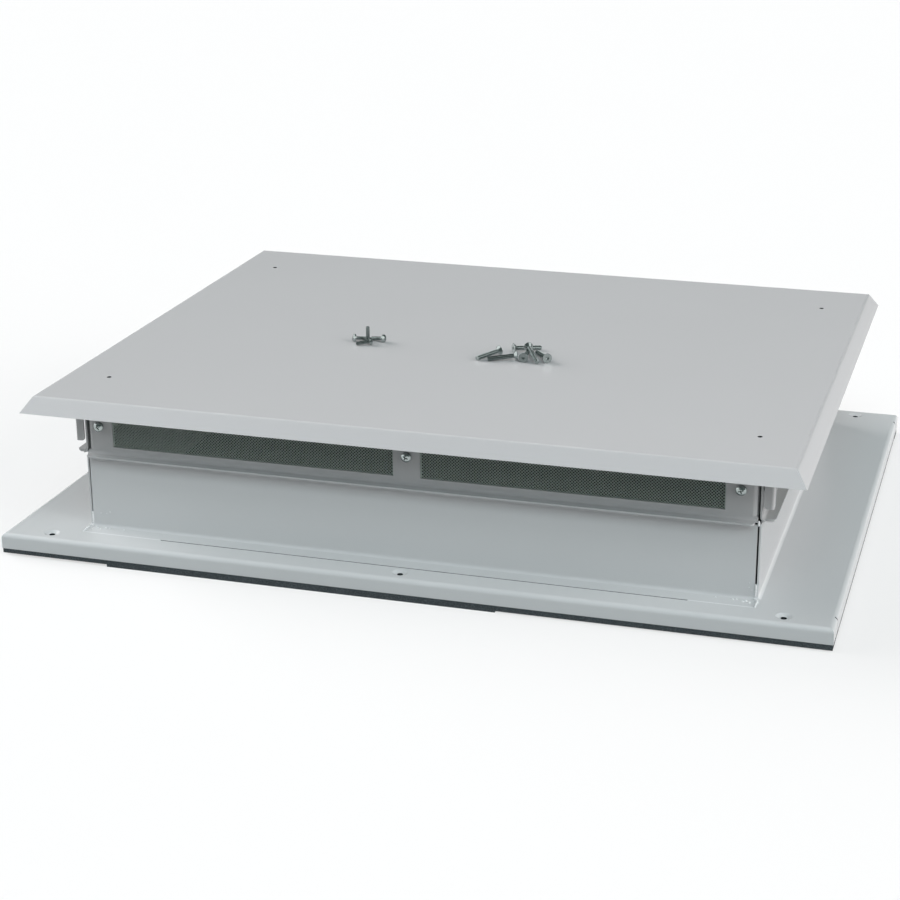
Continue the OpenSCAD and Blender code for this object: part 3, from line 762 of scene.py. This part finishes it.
# How far each drop lies in from the corner and out from the wall.
spatter = ((37, 4.6), (22, 5.2), (17, 4.4), (12, 7.5), (9, 5.6), (5, 9), (-1, 7))
for end, seed in (("front", 3), ("rear", 5)):
    sign = -1 if end == "front" else 1
    y = sign * wall_y
    welds = Shape()
    for x_sign in (-1, 1):
        x = x_sign * slit_x
        in_slit = [(x, y, slit_low), (x, y, slit_high)]
        welds.add(bead(in_slit, radius=0.95, ripple=0.25, seed=seed + x_sign))
        under_ledge = [(x, y, ledge_low), (x, y - sign * 0.6, ledge_high)]
        welds.add(bead(under_ledge, radius=1.0, ripple=0.2, seed=seed + 4 * x_sign))
        x = x_sign * mitre_x
        mitre = [(x, sign * mitre_in, mitre_z), (x, sign * mitre_out, mitre_z)]
        welds.add(bead(mitre, radius=0.9, ripple=0.2, seed=seed))
        if x_sign == -sign:
            ridge = [
                (x_sign * end_x, sign * ridge_y, ridge_z) for end_x in (ridge_from, wall_x)]
            welds.add(bead(ridge, radius=0.5, ripple=0.2, seed=seed + 9))
        chance = random.Random(seed + 20 + x_sign)
        for away, out in spatter:
            across = x_sign * (wall_x - away + chance.uniform(-1, 1))
            depth = sign * (wall_y + out + chance.uniform(-0.5, 0.5))
            size = chance.uniform(0.9, 1.5)
            welds.add(drop((across, depth, plate_top), size, (0, 0, 1)))
        for k in range(3):
            across = x_sign * (322 - abs(chance.gauss(0, 9)))
            spot = (across, y, chance.uniform(29, 40))
            welds.add(drop(spot, chance.uniform(0.4, 0.7), (0, sign, 0)))
    welds.make(f"weld_beads_{end}", weld_coat_highlit, "base", "corner_welds")
    print("weld beads at the", end, "- faces:", len(welds.faces))

# %% [markdown]
# The picture is a plain catalogue shot: the object stands on a white sheet that runs off
# out of sight, between a soft light on the left, one on the right and a weaker one in
# front. The underside of the ledge and the panels below the cover are quite dark, so the
# real table can't have thrown much light back. The floor here therefore looks white to the
# camera and in reflections, and sends only a little light back onto the object. Under the
# plate, where the holes and the perforated windows look down on it, it is painted dark to
# the camera and in reflections: painted shade. A floor that is white for all light would
# make the ledge and the panels too pale.

# %% floor
far = 9
corners = [(-far, -far, 0), (far, -far, 0), (far, far, 0), (-far, far, 0)]
sheet = bpy.data.meshes.new("floor")
sheet.from_pydata(corners, [], [(0, 1, 2, 3)])
floor = bpy.data.objects.new("floor", sheet)
bpy.context.scene.collection.objects.link(floor)
paper = Coat("paper")
grain = paper.noise(0.5, 2)
sheet_white = paper.blend(grain, (0.800, 0.780, 0.778), (0.810, 0.790, 0.788))
table_grey = paper.blend(grain, (0.29, 0.30, 0.30), (0.31, 0.32, 0.32))
half_w, half_d = 0.385, 0.285
under_plate = (abs(paper.along("X")) < half_w) * (abs(paper.along("Y")) < half_d)
look = paper.watched() * (1 - under_plate)
open_floor = paper.blend(look, table_grey, sheet_white)
# Painted shade: under the plate the floor is painted near black where the camera or a
# reflection sees it.
painted_shade_under_plate = paper.watched() * under_plate
paper_colour = paper.blend(painted_shade_under_plate, open_floor, (0.10, 0.10, 0.10))
paper.finish(Base_Color=paper_colour, Roughness=0.9, Specular_IOR_Level=0.1)
lift = paper.node("ShaderNodeEmission", {}, {"Strength": 0.98})
paper.show(paper.mix(look * 0.6, Wire(paper, paper.shader.outputs[0]), lift))
sheet.materials.append(paper.owner)
print("the sheet runs out to", far, "metres each way")

# %% [markdown]
# Round about, the room is dim grey. Only a straight look from the camera finds it white.
# What the steel and the screws mirror is a darker grey with a large soft box on the left,
# one on the right and a weaker one in front. That gives the zinc its dark and bright sides
# and the bends of the sheet their highlights. No picture of a studio is needed for it:
# round patches of white on a grey sky are enough.

# %% the room
studio = Coat("studio", bpy.data.worlds.new("studio"))
bpy.context.scene.world = studio.owner


def towards(bearing, height):
    """Direction in degrees from the front towards the right, and in degrees up."""
    turn, up = math.radians(bearing), math.radians(height)
    level = math.cos(up)
    return Vector((math.sin(turn) * level, -math.cos(turn) * level, math.sin(up)))


def plain(colour, strength):
    """Light of one colour from all round."""
    values = {"Color": (*colour, 1), "Strength": strength}
    return studio.node("ShaderNodeBackground", {}, values)


def soft_box(bearing, height, reach, edge):
    """1 within this many degrees of a direction, falling to 0 over the edge."""
    near = studio.node(
        "ShaderNodeVectorMath", {"operation": "DOT_PRODUCT"},
        {0: studio.place, 1: towards(bearing, height)}, "Value",
    )
    outside = math.cos(math.radians(reach + edge))
    inside = math.cos(math.radians(reach))
    return studio.node(
        "ShaderNodeMapRange", {"interpolation_type": "SMOOTHSTEP"},
        {"Value": near, "From Min": outside, "From Max": inside},
    )


left_box = soft_box(bearing=-85, height=22, reach=40, edge=16)
right_box = soft_box(bearing=80, height=22, reach=26, edge=6)
front_box = soft_box(bearing=20, height=60, reach=14, edge=6)
boxes = left_box + right_box + 0.5 * front_box
mirrored = studio.mix(boxes, plain((0.82, 1.0, 0.97), 0.14), plain((1.0, 1.0, 1.0), 1.4))
bounced = studio.node("ShaderNodeLightPath", {}, {}, "Is Glossy Ray")
straight = studio.node("ShaderNodeLightPath", {}, {}, "Is Camera Ray")
through = studio.node("ShaderNodeLightPath", {}, {}, "Is Transmission Ray")
room = studio.mix(bounced, plain((0.93, 1.0, 1.03), 0.135), mirrored)
studio.show(studio.mix(straight + through, room, plain((1.0, 1.0, 1.0), 1.0)))
print("nodes in the room's shader:", len(studio.tree.nodes))

# %% [markdown]
# The light itself comes from three very large lamps in about the same places as the boxes.
# Lamps close by would light the near end of the plate more than the far end. These are of
# the kind that stands for the sun, so all of it gets the same light. They aren't mirrored
# themselves, so that they can't burn out the paint when it is seen at a low angle.


# %% lamps
def far_light(name, bearing, height, spread, strength, tint):
    """Very large soft light far away."""
    lamp = bpy.data.lights.new(name, "SUN")
    lamp.angle = math.radians(spread)
    lamp.energy = strength
    lamp.color = tint
    shown = bpy.data.objects.new(name, lamp)
    away = towards(bearing, height)
    shown.location = away * 5
    shown.rotation_euler = away.to_track_quat("Z", "Y").to_euler()
    shown.visible_glossy = False
    bpy.context.scene.collection.objects.link(shown)


warm, cool = (1.02, 1.0, 0.99), (0.84, 1.0, 1.03)
far_light("left_light", bearing=-100, height=20, spread=50, strength=4.3, tint=warm)
far_light("right_light", bearing=80, height=20, spread=50, strength=2.8, tint=warm)
far_light("front_light", bearing=20, height=51, spread=46, strength=1.62, tint=cool)

# %% [markdown]
# The camera stands a little to the right and looks down at about twenty degrees, with a
# long lens, so that the front edge hardly narrows towards the right. Such a place could be
# found by eye. Here it was worked out from the corners and holes of the object, by moving
# the camera until they fell where the picture has them.

# %% camera
lens = bpy.data.cameras.new("camera")
camera = bpy.data.objects.new("camera", lens)
bpy.context.scene.collection.objects.link(camera)
bpy.context.scene.camera = camera
camera.location = (0.550, -1.9126, 0.7607)
looks_down, turned = 19.68, 15.93
camera.rotation_euler = (math.radians(90 - looks_down), 0, math.radians(turned))
lens.sensor_width = 36
lens.lens = 80.96
lens.shift_x = -0.0432
lens.shift_y = -0.0055
lens.clip_end = 50
bpy.context.scene.view_settings.view_transform = "Standard"
print("lens:", lens.lens, "camera at:", tuple(round(c, 4) for c in camera.location))

# %% [markdown]
# Dressing the part mustn't make it larger.
